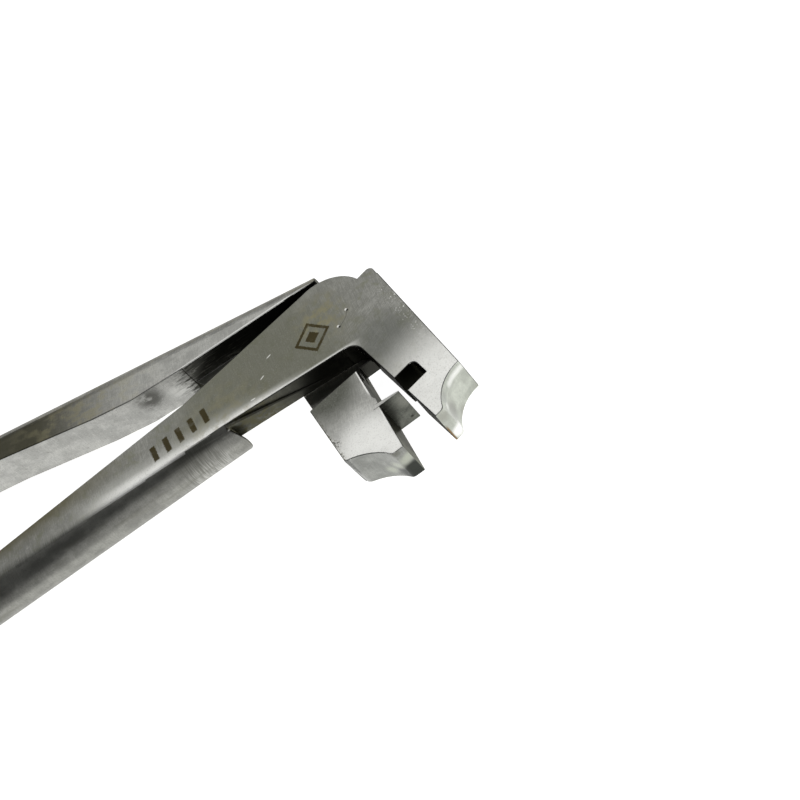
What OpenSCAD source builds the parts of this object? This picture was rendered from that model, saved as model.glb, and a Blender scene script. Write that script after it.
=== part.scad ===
// Right-angle grozing pliers: two stainless levers lapped on a flush rivet.
// Origin: hinge axis, on the rear face the tool rests on. +Z out of the front face,
// handles toward -X, jaws toward -Y. The rear lever is drawn at its rest opening.

/* [Overall] */
// thickness of both levers, front face to rear face
depth = 7.5; // [6.2:0.1:9]
// distance from the hinge axis to the lips of the jaws
jaw_reach = 31.7; // [30.5:0.1:38.1]
// distance from the hinge axis to the end of each handle
handle_reach = 130; // [108:1:156]
// how far the rear lever stands open at rest, in degrees
rest_open = 11.8; // [0.2:0.1:25]

/* [Joint] */
// diameter of the round head of each lever around the hinge
boss_d = 16.1; // [13.4:0.1:17.5]
// diameter of the plain part of the rivet
rivet_d = 6.4; // [5.3:0.1:7]
// how much wider the flush front end of the rivet is
rivet_flare = 0.7; // [0.4:0.1:0.8]
// share of the depth that belongs to the front lever at the joint
lap_share = 0.58; // [0.5:0.01:0.62]
// play between the sliding faces of the joint
lap_play = 0.05; // [0.03:0.01:0.1]

/* [Jaws] */
// width of each jaw at the hinge end
jaw_root_w = 10.8; // [10:0.1:12]
// width of each jaw at the lips
jaw_tip_w = 8.6; // [7.6:0.1:9.6]
// radius of the rounded lips
lip_r = 1.1; // [0.8:0.1:1.3]
// radius of the hollow ground into the end of the front jaw
front_grind_r = 6.9; // [6:0.1:8.3]
// radius of the hollow ground into the end of the rear jaw
rear_grind_r = 12; // [10:0.5:14.5]
// distance from the hinge axis to the middle of the cross slot
slot_at = 22; // [20.5:0.1:23]
// height of the cross slot along the jaw
slot_h = 3.7; // [3.1:0.1:4.4]
// depth of the cross slot behind the mating face
slot_deep = 4.1; // [3.6:0.1:5]
// thickness of the tongue where it leaves the jaw
tongue_t = 0.8; // [0.6:0.1:1.2]
// room left between the tongue edge and the slot bottom when shut
tongue_room = 0.45; // [0.3:0.05:0.8]

/* [Handles] */
// width of each handle at its end
handle_w = 7.6; // [7.6:0.1:8.4]
// widest part of the rear handle
rear_belly_w = 8.8; // [8.4:0.1:9]
// slope of the front handle, in degrees
front_slope = 13.4; // [12.8:0.1:14]
// slope of the rear handle when the jaws are shut, in degrees
rear_slope = 14.2; // [13.8:0.1:15.5]

/* [Hidden] */
$fn = 64;
front_tint = [0.66, 0.66, 0.63];
rear_tint = [0.63, 0.63, 0.6];
rivet_tint = [0.7, 0.7, 0.67];
tongue_tint = [0.48, 0.48, 0.45];
over = 1;

// the lap: the rear lever keeps the rear part of the depth, the front lever the rest
boss_r = boss_d / 2;
lap_z = depth * (1 - lap_share);
rear_lap_z = lap_z - lap_play;
web_y = boss_r + 1.3;
pocket_r = boss_r + 2.2;

// the lower edge of the front arm is tangent to a circle just outside the head
arm_slope = 17.4;
arm_off = boss_r + 0.1;
arm_y = arm_off / cos(arm_slope);
crotch_r = 2.8;
crotch_y = (arm_off + crotch_r - crotch_r * sin(arm_slope)) / cos(arm_slope);
neck_x = boss_r + 14.25;
shoulder_y = boss_r + 1.45;

// outer lines of the handles, measured square from the hinge axis
front_off = boss_r + 1.25;
rear_off = boss_r + 3.65;
front_inner = handle_w - front_off;
rear_inner = rear_off - handle_w;
taper_end = 90;
belly_start = 38;
belly_end = 46;
belly_fade = 65;
end_cut = 1.8;

// the recess wall of the rear handle follows the upper edge of the front arm
wall_tip = [0.7, boss_r + 0.95];
wall_mid = [-10.6, boss_r + 1.7];
wall_end = [-25.9, boss_r + 2.9];
point_x = 1.2;

// jaws: hollow ends, heel, cross slot and tongue
shut_gap = 0.05;
heel_r = 1.05;
heel_y = 1.6;
front_lip = [1, lip_r - jaw_reach];
rear_lip = [1.6, lip_r - jaw_reach - 0.4];
front_grind_lean = 24.5;
rear_grind_lean = 39.3;
relief = 0.4;
block_y = boss_r + 5.5;
tongue_low = slot_at + 0.6;
tongue_len = slot_deep - tongue_room;
tongue_seat = 1.2;
tongue_edge_t = 0.35;

// the rivet: flush flared ends, running fit in the rear lever only
run_fit = 0.04;
front_end_d = rivet_d + rivet_flare;
front_end_h = 0.8;
rear_head_d = rivet_d + 3.2 * rivet_flare;
rear_head_h = 1.3;

// a bar running toward -X with its round side touching y = 0;
// side is 1 where the round side faces -Y and -1 where it faces +Y
module round_bar(length, side) {
    web = 16;
    rotate([90, 0, -90])
    linear_extrude(height = length)
    union() {
        translate([-side * depth / 2, depth / 2]) circle(d = depth);
        translate([side > 0 ? -depth / 2 - web : depth / 2, 0]) square([web, depth]);
    }
}

// what is ground off the end of a jaw: the hollow, and the corner outside the round lip
module ground_off(lip, radius, lean) {
    edge_dip = 0.03;
    reach = radius + lip_r - edge_dip;
    touch = [lip[0] + lip_r * cos(lean), lip[1] - lip_r * sin(lean)];
    translate([lip[0] + reach * cos(lean), lip[1] - reach * sin(lean)]) circle(r = radius);
    difference() {
        polygon([
            lip,
            touch,
            [touch[0] + 1, touch[1]],
            [touch[0] + 1, lip[1] - 2 * lip_r],
            [lip[0], lip[1] - 2 * lip_r]
        ]);
        translate(lip) circle(r = lip_r);
    }
}

module front_jaw_plan() {
    slot_low = -slot_at - slot_h / 2;
    corner_r = 1;
    difference() {
        union() {
            polygon([
                [0, -jaw_reach],
                [jaw_tip_w - 0.4, -jaw_reach],
                [jaw_root_w, -0.6],
                [jaw_root_w - heel_r, heel_y - heel_r],
                [jaw_root_w - heel_r, heel_y],
                [0, heel_y]
            ]);
            translate([jaw_root_w - heel_r, heel_y - heel_r]) circle(r = heel_r);
        }
        ground_off(front_lip, front_grind_r, front_grind_lean);
        translate([-over, slot_low]) square([slot_deep + over, slot_h - corner_r]);
        translate([-over, slot_low]) square([slot_deep - corner_r + over, slot_h]);
        translate([slot_deep - corner_r, slot_low + slot_h - corner_r]) circle(r = corner_r);
    }
}

module front_head_plan() {
    tangent = [-arm_off * sin(arm_slope), -arm_off * cos(arm_slope)];
    bite = 4;
    union() {
        circle(r = boss_r);
        front_jaw_plan();
        difference() {
            polygon([[0, 0], [0.5, -crotch_y], [-crotch_r, -crotch_y], tangent]);
            translate([-crotch_r, -crotch_y]) circle(r = crotch_r);
        }
        polygon([
            [0, 0],
            tangent,
            [-neck_x - 2, (neck_x + 2) * tan(arm_slope) - arm_y],
            [-neck_x - 2 - bite, (neck_x + 2 + bite) * tan(arm_slope) - arm_y + 1],
            [-neck_x - 2.7 - bite, shoulder_y],
            [-neck_x - 4.7, shoulder_y],
            [0, boss_r - 0.02]
        ]);
    }
}

module front_handle_plan() {
    rotate([0, 0, -front_slope])
    polygon([
        [-neck_x + 1.4, -front_off - over],
        [-neck_x - 6.2, boss_r - 5.07],
        [-taper_end, front_inner],
        [-handle_reach + end_cut, front_inner],
        [-handle_reach + end_cut / 3, front_inner - end_cut / 3],
        [-handle_reach, front_inner - end_cut],
        [-handle_reach, -front_off + end_cut],
        [-handle_reach + end_cut / 3, -front_off + end_cut / 3],
        [-handle_reach + end_cut, -front_off - over]
    ]);
}

module front_lever() {
    color(front_tint)
    difference() {
        union() {
            difference() {
                linear_extrude(height = depth) front_jaw_plan();
                translate([0, 0, -over]) cylinder(r = pocket_r, h = lap_z + over);
                translate([0, -3, -over]) cube([20, 20, lap_z + over]);
            }
            translate([0, 0, lap_z]) linear_extrude(height = depth - lap_z) front_head_plan();
            intersection() {
                rotate([0, 0, -front_slope])
                translate([0, -front_off, 0]) round_bar(handle_reach + over, 1);
                linear_extrude(height = depth) front_handle_plan();
            }
        }
        translate([0, 0, -over]) cylinder(d = rivet_d, h = depth + 2 * over);
        translate([0, 0, depth - front_end_h])
            cylinder(d1 = rivet_d, d2 = front_end_d, h = front_end_h);
    }
}

module rear_jaw_plan() {
    bottom = rear_lip[1] - lip_r;
    difference() {
        polygon([
            [-shut_gap, bottom],
            [-shut_gap, -slot_at + 1.2],
            [-relief, -slot_at + 1.8],
            [-relief, -block_y],
            [-jaw_root_w + 0.7, -block_y - 1.1],
            [-jaw_tip_w - 0.1, bottom]
        ]);
        mirror([1, 0]) ground_off(rear_lip, rear_grind_r, rear_grind_lean);
    }
}

// the rear part of the joint: round head, web toward the front jaw, and the roots
// of the jaw and of the handle
module rear_lap_plan() {
    union() {
        circle(r = boss_r);
        polygon([
            [-relief, -block_y - over / 2],
            [-relief, -web_y],
            [2.2, -web_y],
            [3.6, -boss_r + 1.2],
            [0, 0],
            [0, boss_r - 0.3],
            [-14, boss_r + 1],
            [-24.5, boss_r + 4],
            wall_end,
            [-jaw_root_w - 0.1, -4.5],
            [-jaw_root_w + 0.7, -block_y - 1.1],
            [-jaw_root_w + 1.7, -block_y - 1.6]
        ]);
    }
}

module rear_handle_plan() {
    union() {
        polygon([
            [point_x, boss_r / 2],
            [point_x, boss_r + 8],
            [-28, boss_r + 16],
            wall_end,
            [-22, boss_r / 2]
        ]);
        rotate([0, 0, -rear_slope])
        polygon([
            [-22, rear_off - 6],
            [-27.8, rear_off - 7.4],
            [-belly_start, rear_off - rear_belly_w],
            [-belly_end, rear_off - rear_belly_w],
            [-belly_fade, rear_inner],
            [-handle_reach + end_cut, rear_inner],
            [-handle_reach + end_cut / 3, rear_inner + end_cut / 3],
            [-handle_reach, rear_inner + end_cut],
            [-handle_reach, rear_off - end_cut],
            [-handle_reach + end_cut / 3, rear_off - end_cut / 3],
            [-handle_reach + end_cut, rear_off + over],
            [-22, rear_off + over]
        ]);
    }
}

// the front part of the depth is cleared below the recess wall for the front lever
module recess_plan() {
    polygon([
        [wall_tip[0] + 5, wall_tip[1] - 0.05],
        wall_tip,
        wall_mid,
        wall_end,
        [wall_end[0] - 0.6, 0],
        [wall_tip[0] + 5, 0]
    ]);
}

module rear_lever() {
    color(rear_tint)
    rotate([0, 0, -rest_open])
    difference() {
        union() {
            linear_extrude(height = depth) rear_jaw_plan();
            linear_extrude(height = rear_lap_z) rear_lap_plan();
            difference() {
                intersection() {
                    rotate([0, 0, -rear_slope])
                    translate([6, rear_off, 0]) round_bar(handle_reach + 6 + over, -1);
                    linear_extrude(height = depth) rear_handle_plan();
                }
                translate([0, 0, rear_lap_z]) linear_extrude(height = depth) recess_plan();
            }
        }
        translate([0, 0, -over]) cylinder(d = rivet_d + 2 * run_fit, h = depth + over);
        translate([0, 0, -0.01])
            cylinder(
                d1 = rear_head_d + 2 * run_fit,
                d2 = rivet_d + 2 * run_fit,
                h = rear_head_h + run_fit
            );
        translate([-tongue_seat, -tongue_low, -over])
            cube([tongue_seat + over, tongue_t, depth + 2 * over]);
    }
}

module guide_tongue() {
    color(tongue_tint)
    rotate([0, 0, -rest_open])
    linear_extrude(height = depth)
    polygon([
        [-tongue_seat, -tongue_low],
        [tongue_len, -tongue_low],
        [tongue_len, -tongue_low + tongue_edge_t],
        [0, -tongue_low + tongue_t],
        [-tongue_seat, -tongue_low + tongue_t]
    ]);
}

module pivot_rivet() {
    color(rivet_tint)
    union() {
        cylinder(d1 = rear_head_d, d2 = rivet_d, h = rear_head_h);
        cylinder(d = rivet_d, h = depth);
        translate([0, 0, depth - front_end_h])
            cylinder(d1 = rivet_d, d2 = front_end_d, h = front_end_h);
    }
}

front_lever();
rear_lever();
guide_tongue();
pivot_rivet();
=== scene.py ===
import math

import bmesh
import bpy
from mathutils import Matrix, Vector


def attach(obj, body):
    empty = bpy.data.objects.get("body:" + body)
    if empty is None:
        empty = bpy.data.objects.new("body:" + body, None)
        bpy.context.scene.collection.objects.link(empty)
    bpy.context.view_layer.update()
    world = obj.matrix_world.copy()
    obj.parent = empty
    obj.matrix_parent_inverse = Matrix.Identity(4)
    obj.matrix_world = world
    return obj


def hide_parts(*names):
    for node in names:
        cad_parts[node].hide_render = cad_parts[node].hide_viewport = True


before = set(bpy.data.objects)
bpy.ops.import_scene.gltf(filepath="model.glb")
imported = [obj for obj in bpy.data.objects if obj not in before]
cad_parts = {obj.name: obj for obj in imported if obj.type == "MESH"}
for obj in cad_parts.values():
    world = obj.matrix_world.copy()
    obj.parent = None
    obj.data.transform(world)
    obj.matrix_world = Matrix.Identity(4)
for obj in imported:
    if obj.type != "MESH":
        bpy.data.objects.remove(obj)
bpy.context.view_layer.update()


# Camera: a long lens above the front faces, tipped toward the lips of the jaws
# and rolled so that the handles run down to the left.
camera_lens = bpy.data.cameras.new("camera")
camera_lens.lens = 78.3
camera_lens.sensor_width = 36
camera_lens.clip_start = 0.01
camera = bpy.data.objects.new("camera", camera_lens)
bpy.context.scene.collection.objects.link(camera)
looks_at = Vector((-0.00186, -0.02423, 0.0075))
aim = (
    Matrix.Rotation(math.radians(-3.5), 3, "Z")
    @ Matrix.Rotation(math.radians(42.6), 3, "X")
    @ Matrix.Rotation(math.radians(-42.3), 3, "Z")
)
camera.rotation_mode = "QUATERNION"
camera.rotation_quaternion = aim.to_quaternion()
camera.location = looks_at + aim @ Vector((0, 0, 0.2663))
bpy.context.scene.camera = camera


# Table: a plain white light table under the tool, bright enough that the thin
# tool leaves hardly a shadow. It isn't part of the tool.
table_mesh = bmesh.new()
bmesh.ops.create_circle(table_mesh, cap_ends=True, segments=96, radius=3.0)
bmesh.ops.translate(table_mesh, verts=table_mesh.verts, vec=(0, 0, -0.0001))
table_data = bpy.data.meshes.new("light_table")
table_mesh.to_mesh(table_data)
table_mesh.free()
table = bpy.data.objects.new("light_table", table_data)
bpy.context.scene.collection.objects.link(table)
table_white = bpy.data.materials.new("table_white")
table_white.use_nodes = True
table_shader = table_white.node_tree.nodes["Principled BSDF"]
table_shader.inputs["Base Color"].default_value = (0.9, 0.9, 0.9, 1)
table_shader.inputs["Roughness"].default_value = 0.9
table_shader.inputs["Specular IOR Level"].default_value = 0.1
table_shader.inputs["Emission Color"].default_value = (1, 1, 1, 1)
table_shader.inputs["Emission Strength"].default_value = 0.95
table_data.materials.append(table_white)


# Light: a dim even room with three soft boxes. The first, behind the tool, shines on
# its flat faces, the second, at the near edge, on the rounded backs, and the weak
# third, low behind, fills the far edges.
room = bpy.data.worlds.new("room")
bpy.context.scene.world = room
room.use_nodes = True
room.node_tree.nodes["Background"].inputs["Color"].default_value = (0.97, 0.98, 1.0, 1)
room.node_tree.nodes["Background"].inputs["Strength"].default_value = 0.10
bpy.context.scene.view_settings.view_transform = "Standard"


def soft_box(name, place, wide, high, watts):
    lamp = bpy.data.lights.new(name, "AREA")
    lamp.shape = "RECTANGLE"
    lamp.size = wide
    lamp.size_y = high
    lamp.energy = watts
    box = bpy.data.objects.new(name, lamp)
    bpy.context.scene.collection.objects.link(box)
    box.location = place
    box.rotation_mode = "QUATERNION"
    box.rotation_quaternion = (-Vector(place)).to_track_quat("-Z", "Y")


soft_box("back_soft_box", (0.08, 0.40, 0.46), wide=0.6, high=0.34, watts=0.62)
soft_box("near_soft_box", (-0.05, -0.50, 0.26), wide=0.7, high=0.50, watts=0.95)
soft_box("low_soft_box", (0.08, 0.52, 0.13), wide=0.9, high=0.22, watts=0.24)


# Front lever: one forging of stainless steel with its jaw at a right angle. Its
# front face is ground flat and brushed, the back of its handle is left round, and
# the end of the jaw is ground hollow and polished down to a lip.
mm = 0.001
thick = 7.5
bar_r = thick / 2
level = 0.97  # a face whose normal rises more than this is a flat front or rear face
edge_round = 0.15
front_slope = math.radians(13.4)
front_back_at = 9.3


def lever_copy(node):
    steel = bmesh.new()
    steel.from_mesh(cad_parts[node].data)
    bmesh.ops.remove_doubles(steel, verts=steel.verts, dist=1e-6)
    bmesh.ops.dissolve_limit(
        steel, angle_limit=math.radians(1), verts=steel.verts, edges=steel.edges
    )
    return steel


def on_round(vert, along, square, back_at):
    # how far round the section of a handle bar a point lies, or None off the bar
    inward = vert.co.dot(square) / mm + back_at
    rise = vert.co.z / mm - bar_r
    off = abs(math.hypot(bar_r - inward, rise) - bar_r)
    if off < 0.06 and inward < bar_r + 0.02 and vert.co.dot(along) / mm > 19:
        return math.atan2(rise, bar_r - inward)
    return None


def round_finely(steel, along, square, back_at):
    # three facets where the plain model has one, all on the true circle
    arcs = []
    for edge in steel.edges:
        turns = [on_round(v, along, square, back_at) for v in edge.verts]
        if None not in turns and abs(turns[0] - turns[1]) > math.radians(6):
            arcs.append(edge)
    made = bmesh.ops.subdivide_edges(steel, edges=arcs, cuts=2)
    for vert in made["geom_inner"]:
        if isinstance(vert, bmesh.types.BMVert):
            inward = vert.co.dot(square) / mm + back_at
            rise = vert.co.z / mm - bar_r
            short = math.hypot(bar_r - inward, rise)
            if 0.9 * bar_r < short < bar_r:
                grow = bar_r / short - 1
                vert.co += square * (inward - bar_r) * grow * mm
                vert.co.z += rise * grow * mm


def cut_across(steel, direction, first, last, step):
    # rings across a handle, so that its section can change along its length
    at = first
    while at < last:
        bmesh.ops.bisect_plane(
            steel,
            geom=steel.verts[:] + steel.edges[:] + steel.faces[:],
            dist=1e-7,
            plane_co=direction * at * mm,
            plane_no=direction,
        )
        at += step


def finish_lever(steel, name, body, node, edge_width, part_of, steels):
    # edges get their own rounding, faces their own finish
    rounding = steel.edges.layers.float.new("bevel_weight_edge")
    for edge in steel.edges:
        if len(edge.link_faces) == 2 and edge.calc_face_angle() > math.radians(22):
            middle = (edge.verts[0].co + edge.verts[1].co) / 2 / mm
            edge[rounding] = edge_width(edge, middle)
    for face in steel.faces:
        face.material_index = part_of(face, face.calc_center_median() / mm)
        face.smooth = True
    data = bpy.data.meshes.new(name)
    steel.to_mesh(data)
    steel.free()
    for finish in steels:
        data.materials.append(finish)
    lever = bpy.data.objects.new(name, data)
    bpy.context.scene.collection.objects.link(lever)
    round_over = lever.modifiers.new("round_over", "BEVEL")
    round_over.limit_method = "WEIGHT"
    round_over.width = mm
    round_over.segments = 3
    round_over.profile = 0.5
    round_over.use_clamp_overlap = False
    round_over.miter_outer = "MITER_SHARP"
    shaped = bpy.data.meshes.new_from_object(
        lever.evaluated_get(bpy.context.evaluated_depsgraph_get())
    )
    lever.modifiers.clear()
    lever.data = shaped
    for vert in shaped.vertices:
        vert.co.z = min(max(vert.co.z, 0), thick * mm)
    for ground in shaped.polygons:
        ground.use_smooth = abs(ground.normal.z) < 0.9995
    even_shine = lever.modifiers.new("even_shine", "WEIGHTED_NORMAL")
    even_shine.weight = 60
    even_shine.keep_sharp = True
    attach(lever, body)
    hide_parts(node)


class Steel:
    # one finish of steel: brushed grain, mottling, stains, and marks laid over it

    def __init__(self, name, tone, rough, brush_turn=0.0, brush=0.35, mottle=0.3, grain=0.5):
        self.material = bpy.data.materials.new(name)
        self.material.use_nodes = True
        self.nodes = self.material.node_tree.nodes
        self.links = self.material.node_tree.links
        self.shader = self.nodes["Principled BSDF"]
        self.shader.inputs["Metallic"].default_value = 1.0
        self.place = self.nodes.new("ShaderNodeTexCoord").outputs["Object"]
        # brush lines: short along the lever, long across it
        self.lines = self.noise((0.09, 2.6, 2.6), brush_turn, 3, 0.65)
        self.fine = self.noise((0.24, 0.24, 0.24), 0, 3, 0.7)
        self.blotch = self.noise((3.4, 2.2, 2.6), brush_turn, 5, 0.62)
        dark = [c * (1 - mottle) for c in tone]
        light = [min(1, c * (1 + mottle * 0.8)) for c in tone]
        self.colour = self.blend(self.ramp(self.blotch, 0.36, 0.66), dark, light)
        self.lay(self.ramp(self.lines, 0.38, 0.68, brush), [c * 0.62 for c in tone])
        self.lay(self.ramp(self.lines, 0.5, 0.3, brush * 0.8), [min(1, c * 1.35) for c in tone])
        self.lay(self.ramp(self.fine, 0.52, 0.72, grain), [c * 0.55 for c in tone])
        self.lay(self.ramp(self.fine, 0.44, 0.28, grain * 0.6), [min(1, c * 1.4) for c in tone])
        spread = self.number("MULTIPLY_ADD", self.lines, 0.16, rough - 0.08)
        self.rough = self.number("MULTIPLY_ADD", self.blotch, 0.18, spread)
        self.rough = self.number("SUBTRACT", self.rough, 0.09)
        height = self.number("MULTIPLY_ADD", self.fine, 0.6 * grain, self.lines)
        bump = self.nodes.new("ShaderNodeBump")
        bump.inputs["Strength"].default_value = 0.55
        bump.inputs["Distance"].default_value = 0.004 * mm
        self.links.new(height, bump.inputs["Height"])
        self.links.new(bump.outputs["Normal"], self.shader.inputs["Normal"])

    def put(self, value, socket):
        if isinstance(value, bpy.types.NodeSocket):
            self.links.new(value, socket)
        elif isinstance(value, (list, tuple)):
            socket.default_value = (*value[:3], 1)
        else:
            socket.default_value = value

    def number(self, operation, first, second=0.0, third=0.0):
        node = self.nodes.new("ShaderNodeMath")
        node.operation = operation
        for value, socket in zip((first, second, third), node.inputs):
            self.put(value, socket)
        return node.outputs[0]

    def noise(self, size, turn, detail, fade, shift=(0, 0, 0)):
        # size is that of one cloud of the pattern in mm, along, across and through
        mapping = self.nodes.new("ShaderNodeMapping")
        mapping.vector_type = "TEXTURE"
        mapping.inputs["Rotation"].default_value = (0, 0, turn)
        mapping.inputs["Location"].default_value = [s * mm for s in shift]
        mapping.inputs["Scale"].default_value = [s * mm for s in size]
        self.links.new(self.place, mapping.inputs["Vector"])
        cloud = self.nodes.new("ShaderNodeTexNoise")
        cloud.inputs["Scale"].default_value = 1.0
        cloud.inputs["Detail"].default_value = detail
        cloud.inputs["Roughness"].default_value = fade
        self.links.new(mapping.outputs["Vector"], cloud.inputs["Vector"])
        return cloud.outputs["Fac"]

    def ramp(self, value, low, high, most=1.0):
        node = self.nodes.new("ShaderNodeMapRange")
        node.interpolation_type = "SMOOTHSTEP"
        self.put(value, node.inputs["Value"])
        node.inputs["From Min"].default_value = low
        node.inputs["From Max"].default_value = high
        node.inputs["To Min"].default_value = 0
        node.inputs["To Max"].default_value = most
        return node.outputs["Result"]

    def across(self, slope, offset, full, gone):
        # 1 up to `full` mm beyond a line in the plan, fading to 0 at `gone`
        reach = self.nodes.new("ShaderNodeVectorMath")
        reach.operation = "DOT_PRODUCT"
        self.links.new(self.place, reach.inputs[0])
        reach.inputs[1].default_value = (
            math.sin(slope) / mm,
            math.cos(slope) / mm,
            0,
        )
        return self.ramp(reach.outputs["Value"], offset + gone, offset + full)

    def around(self, centre, full, gone, most=1.0):
        # 1 within `full` mm of a point, fading to 0 at `gone`
        far = self.nodes.new("ShaderNodeVectorMath")
        far.operation = "DISTANCE"
        self.links.new(self.place, far.inputs[0])
        far.inputs[1].default_value = [c * mm for c in centre]
        return self.ramp(far.outputs["Value"], gone * mm, full * mm, most)

    def mark_place(self, centre, turn):
        # x along and y across a mark on the face, in mm from its centre
        mapping = self.nodes.new("ShaderNodeMapping")
        mapping.vector_type = "TEXTURE"
        mapping.inputs["Location"].default_value = [c * mm for c in centre]
        mapping.inputs["Rotation"].default_value = (0, 0, turn)
        mapping.inputs["Scale"].default_value = (mm, mm, mm)
        self.links.new(self.place, mapping.inputs["Vector"])
        split = self.nodes.new("ShaderNodeSeparateXYZ")
        self.links.new(mapping.outputs["Vector"], split.inputs[0])
        return split.outputs["X"], split.outputs["Y"]

    def both(self, first, second):
        return self.number("MULTIPLY", first, second)

    def blend(self, share, first, second):
        node = self.nodes.new("ShaderNodeMix")
        node.data_type = "RGBA"
        self.put(share, node.inputs["Factor"])
        self.put(first, node.inputs["A"])
        self.put(second, node.inputs["B"])
        return node.outputs["Result"]

    def lay(self, share, colour):
        self.colour = self.blend(share, self.colour, colour)

    def roughen(self, share, amount):
        self.rough = self.number("MULTIPLY_ADD", share, amount, self.rough)

    def done(self):
        self.links.new(self.colour, self.shader.inputs["Base Color"])
        self.links.new(self.rough, self.shader.inputs["Roughness"])
        return self.material


# colours of the steel, from polished to forged, and its stains; the bright, shining, soft, dull
# and black ones also serve as painted highlights, painted reflections and painted shade
bright_steel_and_highlight = (0.86, 0.86, 0.82)
soft_highlight = (0.55, 0.55, 0.51)
dull_steel_and_reflection = (0.30, 0.30, 0.26)
black_marks_and_shade = (0.035, 0.035, 0.03)
shining_steel_and_highlight = (0.95, 0.95, 0.92)
olive_stain = (0.25, 0.23, 0.13)
dark_olive_shade = (0.12, 0.11, 0.06)
brown_stain = (0.20, 0.13, 0.06)
etched = (0.085, 0.068, 0.028)

front_across = math.radians(-17.4)
face = Steel(
    "front_face_steel", (0.275, 0.275, 0.25), 0.32, front_across, brush=0.6, mottle=0.2, grain=1.0
)
# brush lines run across the jaw, as they do across the arm
jaw_lines = face.noise((2.6, 0.1, 2.6), 0.2, 3, 0.65)
on_jaw = face.around((5.5, -10, thick), 5, 11)
face.lay(face.both(on_jaw, face.ramp(jaw_lines, 0.46, 0.3, 0.8)), (0.46, 0.46, 0.42))
face.lay(face.both(on_jaw, face.ramp(jaw_lines, 0.5, 0.7, 0.5)), (0.17, 0.17, 0.15))
clouds = face.noise((2.2, 2.2, 2.2), 0, 5, 0.68, (1, 2, 0))
face.lay(face.ramp(clouds, 0.5, 0.7, 0.7), (0.185, 0.19, 0.135))
face.lay(face.ramp(clouds, 0.46, 0.3, 0.5), (0.38, 0.38, 0.35))
patches = face.ramp(face.noise((1.6, 1.6, 1.6), 0, 4, 0.6), 0.4, 0.65)
face.lay(face.around((-15, 0, thick), 9, 24, 0.75), (0.135, 0.137, 0.098))
face.lay(face.around((3.6, -12.5, thick), 2, 8, 0.7), (0.13, 0.135, 0.12))
# a painted highlight along the lower edge of the arm, strongest where it is narrowest
arm_slope = math.radians(17.4)
arm_edge_at = -8.15
for band, centre, full, gone, most, shine in (
    (4.2, (-36, 1, thick), 10, 22, 0.75, soft_highlight),
    (1.8, (-30, 0, thick), 12, 24, 0.9, bright_steel_and_highlight),
    (0.7, (-11, -3, thick), 9, 14, 1.0, bright_steel_and_highlight),
):
    near_edge = face.across(arm_slope, arm_edge_at, 0.0, band)
    face.lay(face.both(near_edge, face.around(centre, full, gone, most)), shine)
# and the face is also painted lighter toward the end of the jaw
face.lay(face.around((5.5, -29.5, thick), 4.5, 17), bright_steel_and_highlight)
face.lay(face.ramp(face.fine, 0.5, 0.74, 0.5), (0.3, 0.3, 0.27))
face.lay(face.both(face.around((-1, 0.8, thick), 1, 7, 0.7), patches), olive_stain)
face.lay(face.both(face.around((-24, -1, thick), 2, 12, 0.4), patches), olive_stain)
# painted shade on the inner side of the handle toward its far end, where the face rolls over
inner_side = face.across(front_slope, -2.4, 3.4, -1.0)
far_left = face.around((-80, 20, thick), 22, 48, 0.9)
face.lay(face.both(inner_side, far_left), dark_olive_shade)
# small nicks along the outer edge of the jaw, and short scratches on the arm
nicks = face.ramp(face.noise((0.22, 0.5, 0.3), 0.3, 2, 0.5, (3, 1, 0)), 0.62, 0.68)
outer_edge = face.across(math.radians(-85.5), -10.2, 0.6, 1.9)
outer_edge = face.both(outer_edge, face.around((9.4, -11, thick), 4, 9, 0.9))
face.lay(face.both(nicks, outer_edge), shining_steel_and_highlight)
for x, y, turn in ((-11.3, 3.2, 0.05), (-14.5, 0.7, 0.2), (-18.0, -1.4, -0.3)):
    scratch_x, scratch_y = face.mark_place((x, y, thick), turn)
    scratch_x = face.ramp(face.number("ABSOLUTE", scratch_x), 0.6, 0.2, 0.8)
    scratch_y = face.ramp(face.number("ABSOLUTE", scratch_y), 0.14, 0.04)
    face.lay(face.both(scratch_x, scratch_y), bright_steel_and_highlight)

# a faint arc of the rivet, with a pit at each end and a painted highlight on the rim of each pit
within_rivet = face.around((0, 0, thick), 3.4, 3.5)
rim = face.both(face.around((0, 0, thick), 3.47, 3.6), face.number("SUBTRACT", 1, within_rivet))
face.lay(face.both(rim, face.around((2.2, -3.0, thick), 1.2, 2.4, 0.75)), black_marks_and_shade)
for x, y in ((3.01, -1.99), (0.16, -3.54)):
    face.lay(face.around((x - 0.12, y + 0.3, thick), 0.1, 0.34, 0.9), bright_steel_and_highlight)
    face.lay(face.around((x, y, thick), 0.14, 0.3), black_marks_and_shade)

# etched in the face: a plain diamond at the joint, and a row of bars on the arm
rough_edge = face.number("MULTIPLY_ADD", face.noise((0.25, 0.25, 0.25), 0, 2, 0.5), 0.5, -0.25)
mark_x, mark_y = face.mark_place((-4.13, -0.77, thick), front_across)
diamond = face.number("ADD", face.number("ABSOLUTE", mark_x), face.number("ABSOLUTE", mark_y))
diamond = face.number("ADD", diamond, rough_edge)
outline = face.both(face.ramp(diamond, 3.5, 3.3), face.ramp(diamond, 2.55, 2.75))
middle = face.ramp(diamond, 1.45, 1.25)
bar_step = 2.6
bar_x, bar_y = face.mark_place((-30.5, 4.83, thick), math.radians(-10.5))
bar_x = face.number("ADD", bar_x, rough_edge)
bar_y = face.number("ADD", bar_y, rough_edge)
repeat = face.number("FRACT", face.number("MULTIPLY_ADD", bar_x, 1 / bar_step, 2.5))
bars = face.both(face.ramp(repeat, 0.2, 0.27), face.ramp(repeat, 0.66, 0.59))
bars = face.both(bars, face.ramp(face.number("ABSOLUTE", bar_x), 6.6, 6.4))
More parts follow.
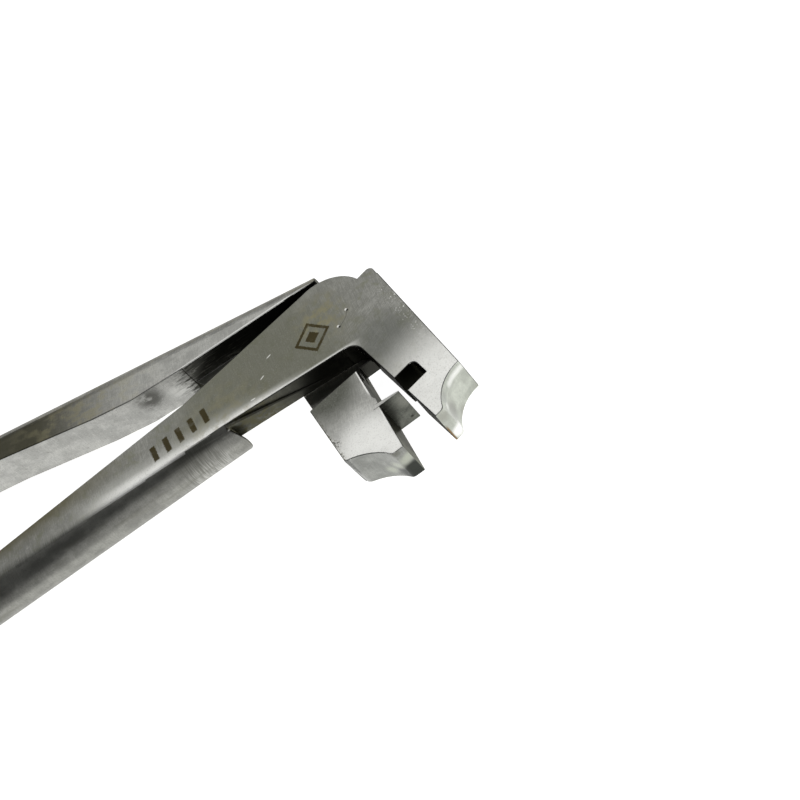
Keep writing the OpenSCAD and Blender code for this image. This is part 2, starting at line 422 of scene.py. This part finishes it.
bars = face.both(bars, face.ramp(face.number("ABSOLUTE", bar_y), 1.7, 1.5))
marks = face.number("MAXIMUM", face.number("MAXIMUM", outline, middle), bars)
face.lay(face.both(marks, face.ramp(face.blotch, 0.2, 0.5, 0.95)), etched)
face.roughen(marks, 0.2)
front_face_steel = face.done()

bar = Steel(
    "front_bar_steel", (0.285, 0.285, 0.26), 0.4, -front_slope, brush=0.22, mottle=0.2, grain=0.6
)
# a painted highlight, streaked by the brush lines, on the round back of the handle near the
# shoulder
streaky_highlight = bar.both(bar.around((-31, -2.0, 3.6), 1, 6, 0.7), bar.ramp(bar.lines, 0.62, 0.35))
bar.lay(streaky_highlight, bright_steel_and_highlight)
long_streaks = bar.noise((9, 1.2, 1.2), -front_slope, 4, 0.6, (2, 2, 2))
bar.lay(bar.ramp(long_streaks, 0.52, 0.7, 0.6), (0.2, 0.2, 0.17))
# painted shade in a band just below the ridge of the handle
bar.lay(bar.around((-31, 0.4, 6.6), 1.5, 7, 0.7), (0.12, 0.12, 0.1))
front_bar_steel = bar.done()

# the walls' dark tone is painted shade
wall = Steel(
    "front_wall_steel", (0.12, 0.12, 0.10), 0.42, -front_slope, brush=0.3, mottle=0.35, grain=0.5
)
# painted shade, black, deep in the crotch
crotch = wall.both(wall.around((-4, -8, 4), 6, 16, 0.95), wall.ramp(wall.blotch, 0.2, 0.5))
wall.lay(crotch, black_marks_and_shade)
# painted shade inside the slot
wall.lay(wall.around((2.2, -21.5, 4), 4, 5.2, 0.96), (0.012, 0.012, 0.01))
# mottled painted shade on the wall of the neck, in the recess
recess_shade_mottle = wall.ramp(wall.noise((0.9, 0.9, 0.9), 0, 4, 0.65), 0.42, 0.58)
wall.lay(wall.both(wall.around((-21, -2.5, 4), 3, 9, 0.9), recess_shade_mottle), (0.09, 0.086, 0.055))
# a dark specular tint, painted shade, keeps the walls dark even seen along the surface
wall.shader.inputs["Specular Tint"].default_value = (0.15, 0.15, 0.14, 1)
front_wall_steel = wall.done()

# the hollow is polished, and its look is painted reflection: a painted bright streak beside the
# face, grey in the middle with darker patches, painted highlights toward the lip, and a narrow
# brown heat stain where it was ground thin at the lip
hollow = Steel(
    "front_hollow_steel", (0.46, 0.48, 0.425), 0.2, 0.4, brush=0.15, mottle=0.16, grain=0.35
)
for spot in (
    (8.4, -27.0, 6.2),
    (7.6, -27.05, 6.2),
    (6.8, -27.15, 6.2),
    (6.0, -27.4, 6.2),
    (5.2, -27.75, 6.1),
):
    hollow.lay(hollow.around(spot, 0.1, 1.0, 0.5), shining_steel_and_highlight)
hollow.lay(hollow.around((3.0, -29.6, 6.6), 0.2, 1.7, 0.6), (0.26, 0.27, 0.25))
hollow.lay(hollow.around((2.6, -30.2, 5.4), 0.1, 0.9, 0.6), (0.8, 0.8, 0.76))
hollow.lay(hollow.around((1.3, -31.6, 1.4), 0.6, 1.7, 0.9), shining_steel_and_highlight)
hollow.lay(hollow.around((2.7, -29.8, 3.6), 0.6, 2.4, 0.65), (0.2, 0.2, 0.18))
hollow.lay(hollow.around((0.9, -31.7, 6.4), 0.3, 1.7, 0.6), dull_steel_and_reflection)
hollow.lay(hollow.around((9.2, -27.0, 0.4), 0.5, 2.0, 0.6), dull_steel_and_reflection)
hollow.lay(hollow.around((4.0, -28.6, 0.2), 0.4, 1.6, 0.5), dull_steel_and_reflection)
lip_edge = hollow.across(math.radians(90), 0, 0.15, 0.4)
hollow.lay(hollow.both(lip_edge, hollow.around((0, -31.7, 1.5), 1.6, 3.2)), brown_stain)
front_hollow_steel = hollow.done()

front = lever_copy("front_lever")
front_along = Vector((-math.cos(front_slope), math.sin(front_slope), 0))
front_square = Vector((math.sin(front_slope), math.cos(front_slope), 0))
cut_across(front, front_along, first=31.3, last=126.0, step=4.0)
round_finely(front, front_along, front_square, front_back_at)


def front_ridge(along):
    # how far in from the back the flat face begins, along the handle
    ridge = min(1.130 + 0.06993 * along, 6.2)
    near_end = min(max((along - 108) / 16, 0), 1)
    return ridge + (bar_r - ridge) * near_end


for vert in front.verts:
    along = vert.co.dot(front_along) / mm
    inward = vert.co.dot(front_square) / mm + front_back_at
    turn = on_round(vert, front_along, front_square, front_back_at)
    ridge = front_ridge(along)
    if turn is not None and turn > 0.01:
        rise = bar_r * math.sin(turn)
        if ridge < bar_r:
            radius = (bar_r ** 2 + ridge ** 2) / (2 * ridge)
            turn *= math.asin(bar_r / radius) / (math.pi / 2)
            new_inward = radius * (1 - math.cos(turn))
            rise = radius * math.sin(turn)
        else:
            new_inward = ridge * (1 - math.cos(turn))
        vert.co += front_square * (new_inward - inward) * mm
        vert.co.z = (bar_r + min(rise, bar_r)) * mm
    elif 24.5 < along < 31 and inward < bar_r + 0.4 and vert.co.z > 7 * mm:
        # the arm's plate runs out flush into the ridge of the handle
        vert.co += front_square * (ridge - inward) * mm
shoulder = [v for v in front.verts if -32 * mm < v.co.x < -20 * mm]
head_corner = [v for v in front.verts if v.co.x > 8 * mm and v.co.y > -1 * mm]
bmesh.ops.remove_doubles(front, verts=shoulder + head_corner, dist=0.04 * mm)


def front_edge_width(edge, middle):
    shoulder_round = 0.45
    along = middle.dot(front_along)
    if 19 < along < 31 and middle.z < 7.2 and middle.y < -1:
        return shoulder_round
    if math.hypot(middle.x, middle.y) < 4.5:
        return 0
    if middle.x > 8.5 and middle.y > -1.5 and edge.calc_length() < 0.5 * mm:
        return 0
    return edge_round


def front_part_of(face, middle):
    if abs(face.normal.z) > level:
        return 0
    # the wheel that ground the hollow had its middle here, and this radius
    lean = math.radians(24.5)
    wheel_x = 1 + 8 * math.cos(lean)
    wheel_y = -30.6 - 8 * math.sin(lean)
    wheel_r = 6.9
    off_wheel = math.hypot(middle.x - wheel_x, middle.y - wheel_y) - wheel_r
    if abs(off_wheel) < 0.25 and middle.y < -24:
        return 3
    if middle.y < -31.0:
        return 3
    along = middle.dot(front_along)
    if along > 21 and face.normal.dot(front_square) < 0.5:
        return 1
    return 2


finish_lever(
    front,
    "front_lever_steel",
    "front",
    "front_lever",
    front_edge_width,
    front_part_of,
    [front_face_steel, front_bar_steel, front_wall_steel, front_hollow_steel],
)


# Rear lever: the same steel, halved at the joint so that it passes behind the front lever. Its
# recess is painted dark as shade, its jaw face is ground bright.
rest_open = 11.8
rear_turn = Matrix.Rotation(math.radians(-rest_open), 3, "Z")
rear_slope = math.radians(14.2 + rest_open)

face = Steel(
    "rear_face_steel", (0.44, 0.44, 0.41), 0.34, -rear_slope, brush=0.45, mottle=0.25, grain=0.75
)
face.lay(face.around((-9.8, -27.5, thick), 3.4, 9.5), (0.9, 0.9, 0.86))
face.lay(face.around((-9.0, -11.6, thick), 3.0, 8.4, 0.95), (0.1, 0.104, 0.085))
worn = face.ramp(face.noise((0.36, 0.36, 0.36), 0, 4, 0.7, (2, 5, 0)), 0.5, 0.6)
outer_side = face.across(math.radians(-82.8), 11.24, -0.1, -0.7)
outer_side = face.both(outer_side, face.around((-13.4, -20, thick), 6, 8))
face.lay(face.both(outer_side, worn), (0.09, 0.085, 0.05))
face.lay(face.both(face.around((-9.5, -12.5, thick), 1.5, 6.0, 0.5), worn), (0.08, 0.08, 0.065))
face.lay(face.both(face.around((-13.7, -21.3, thick), 0.3, 1.6, 0.9), worn), black_marks_and_shade)
face.lay(face.ramp(face.fine, 0.5, 0.74, 0.4), (0.35, 0.35, 0.32))
# painted highlights along the inner edges of the jaw
for inner_at, height in ((-0.4, -14.6), (-0.05, -27.0)):
    edge = face.across(math.radians(101.8), inner_at - 0.32, 0.06, -0.06)
    edge = face.both(edge, face.around((height / 4.9, height, thick), 3.4, 5.0))
    face.lay(edge, bright_steel_and_highlight)
# a painted highlight along the edge of the recess
recess_edge = face.number("SUBTRACT", 1, face.across(math.radians(16), 9.35, 0.1, -0.1))
recess_edge = face.both(recess_edge, face.around((-12, 13, thick), 12, 16))
face.lay(recess_edge, bright_steel_and_highlight)
# painted shade toward the far end of the handle, where the face rolls over
face.lay(face.around((-72, 46, thick), 26, 50, 0.9), (0.035, 0.032, 0.012))
mottled = face.both(face.around((-40, 28, thick), 4, 18, 0.5), face.ramp(face.blotch, 0.45, 0.6))
face.lay(mottled, olive_stain)
rear_face_steel = face.done()

bar = Steel(
    "rear_bar_steel", (0.36, 0.355, 0.31), 0.52, -rear_slope, brush=0.25, mottle=0.35, grain=0.6
)
bar.lay(bar.ramp(bar.noise((5, 2, 2), -rear_slope, 5, 0.6), 0.5, 0.66, 0.6), olive_stain)
rear_bar_steel = bar.done()

wall = Steel(
    "rear_wall_steel", (0.48, 0.48, 0.455), 0.4, -rear_slope, brush=0.25, mottle=0.2, grain=0.8
)
smears = wall.ramp(wall.noise((5, 2.4, 2.4), -rear_slope, 5, 0.62, (1, 4, 2)), 0.5, 0.66)
wall.lay(wall.both(smears, wall.around((-62, 33, 3), 12, 34, 0.4)), (0.56, 0.56, 0.54))
flecks = wall.noise((1.8, 1.2, 1.2), 0, 5, 0.65, (5, 1, 1))
wall.lay(wall.ramp(flecks, 0.6, 0.7, 0.5), (0.24, 0.24, 0.22))
burn = wall.ramp(wall.noise((2.4, 1.6, 1.6), 0, 4, 0.6, (4, 4, 1)), 0.3, 0.55)
wall.lay(wall.both(wall.around((-30.4, 18.7, 5.2), 0.8, 3.6, 0.9), burn), (0.1, 0.1, 0.09))
wall.lay(wall.around((-26.2, 17.0, 3.2), 0.5, 2.2, 0.6), (0.66, 0.66, 0.63))
# the walls round the jaw are painted darker, and a painted shadow, nearly black, lies in the
# corner by the front lever's crotch
wall.lay(wall.around((-5, -22, 3.75), 11, 13, 0.85), (0.16, 0.165, 0.14))
wall.lay(wall.around((-3.2, -13, 3.75), 3, 6.5, 0.8), (0.05, 0.05, 0.04))
# near the hinge the wall is painted black up to a ragged border: painted shade deep in the recess
ragged = wall.noise((3.5, 0.8, 0.8), -rear_slope, 4, 0.7)
from_hinge = wall.nodes.new("ShaderNodeVectorMath")
from_hinge.operation = "LENGTH"
wall.links.new(wall.place, from_hinge.inputs[0])
reach = wall.number("MULTIPLY_ADD", ragged, 10 * mm, from_hinge.outputs["Value"])
wall.lay(wall.ramp(reach, 36 * mm, 33 * mm, 0.97), black_marks_and_shade)
streaks = wall.ramp(wall.noise((6, 0.5, 0.3), -rear_slope, 3, 0.6, (3, 3, 3)), 0.52, 0.66)
wall.lay(wall.both(streaks, wall.around((-19, 14, 4), 4, 11, 0.7)), (0.17, 0.17, 0.15))
# a dimmer specular tint, painted shade, keeps the walls darker seen along the surface
wall.shader.inputs["Specular Tint"].default_value = (0.5, 0.5, 0.46, 1)
rear_wall_steel = wall.done()

hollow = Steel(
    "rear_hollow_steel", (0.27, 0.275, 0.255), 0.24, 0.2, brush=0.2, mottle=0.2, grain=0.4
)
# the polished hollow carries a painted reflection: dark and light patches, painted shade just
# under the edge of the face, and a lighter patch at the heel
hollow.lay(hollow.around((-7.6, -31.1, 1.4), 1.6, 3.3, 0.95), (0.03, 0.033, 0.028))
for spot in ((-10.2, -28.6, 2.2), (-9.0, -29.9, 3.6), (-7.8, -31.1, 4.6), (-6.8, -31.3, 5.0)):
    hollow.lay(hollow.around(spot, 0.3, 1.5, 0.8), (0.42, 0.44, 0.37))
hollow.lay(hollow.around((-8.4, -31.0, 7.3), 0.3, 1.4, 0.7), (0.12, 0.12, 0.1))
hollow.lay(hollow.around((-15.5, -24.8, 0.4), 0.4, 3.0, 0.5), (0.5, 0.5, 0.48))
rear_hollow_steel = hollow.done()

rear = lever_copy("rear_lever")
rear_along = Vector((-math.cos(rear_slope), math.sin(rear_slope), 0))
rear_square = Vector((-math.sin(rear_slope), -math.cos(rear_slope), 0))
rear_back_at = 11.7
cut_across(rear, rear_along, first=31.3, last=126.0, step=8.0)
round_finely(rear, rear_along, rear_square, rear_back_at)
bmesh.ops.remove_doubles(rear, verts=rear.verts, dist=0.02 * mm)

# the outer corner of the jaw is rubbed round toward the rear face
outer_corner = min(
    (
        e
        for e in rear.edges
        if abs(e.verts[0].co.z - e.verts[1].co.z) > 7 * mm and e.verts[0].co.y < -20 * mm
    ),
    key=lambda e: e.verts[0].co.x,
)
sharp_corner = outer_corner.verts[0].co.copy()
rubbed = bmesh.ops.bevel(
    rear,
    geom=[outer_corner],
    offset=1.5 * mm,
    segments=6,
    profile=0.5,
    affect="EDGES",
    material=-1,
    clamp_overlap=False,
)
for vert in rubbed["verts"]:
    if vert.co.z > 7.4 * mm:
        vert.co.x, vert.co.y = sharp_corner.x, sharp_corner.y
bmesh.ops.remove_doubles(rear, verts=rear.verts, dist=0.02 * mm)


def rear_edge_width(edge, middle):
    if math.hypot(middle.x, middle.y) < 4.8:
        return 0
    if (middle - Vector((-5.3, -21.0, middle.z))).length < 1.6:
        return 0
    return edge_round


def rear_part_of(face, middle):
    if abs(face.normal.z) > level:
        return 0
    shut = rear_turn.inverted() @ middle
    lean = math.radians(39.3)
    wheel_x = -1.6 - 13.1 * math.cos(lean)
    wheel_y = -31.0 - 13.1 * math.sin(lean)
    wheel_r = 12
    off_wheel = math.hypot(shut.x - wheel_x, shut.y - wheel_y) - wheel_r
    if abs(off_wheel) < 0.3 and shut.y < -26:
        return 3
    if middle.y < -30.7:
        return 3
    if middle.x < -5 and face.normal.y > 0.1:
        return 1
    return 2


finish_lever(
    rear,
    "rear_lever_steel",
    "rear",
    "rear_lever",
    rear_edge_width,
    rear_part_of,
    [rear_face_steel, rear_bar_steel, rear_wall_steel, rear_hollow_steel],
)


# Guide tongue: a hard steel blade pressed into the rear jaw. It runs in the slot
# of the front jaw and keeps the two lips in line.
blade = Steel(
    "tongue_steel", (0.135, 0.14, 0.12), 0.42, -rear_slope, brush=0.2, mottle=0.4, grain=1.0
)
blade.lay(blade.around((-2.0, -22.7, 1.2), 0.12, 0.4), black_marks_and_shade)
blade.lay(blade.around((-1.2, -22.8, 5.5), 0.5, 2.4, 0.5), dull_steel_and_reflection)
tongue_steel = blade.done()
tongue = lever_copy("guide_tongue")
finish_lever(
    tongue,
    "guide_tongue_steel",
    "rear",
    "guide_tongue",
    lambda edge, middle: 0.09 if middle.x > -4.2 else 0,
    lambda face, middle: 1 if face.normal.z > 0.5 else 0,
    [tongue_steel, rear_face_steel],
)


# Pivot rivet: a plain pin with both ends hammered into countersinks and ground
# flush, so that only a faint ring shows on the front face.
rivet = lever_copy("pivot_rivet")
finish_lever(
    rivet,
    "pivot_rivet_steel",
    "front",
    "pivot_rivet",
    lambda edge, middle: 0,
    lambda face, middle: 0,
    [front_face_steel],
)
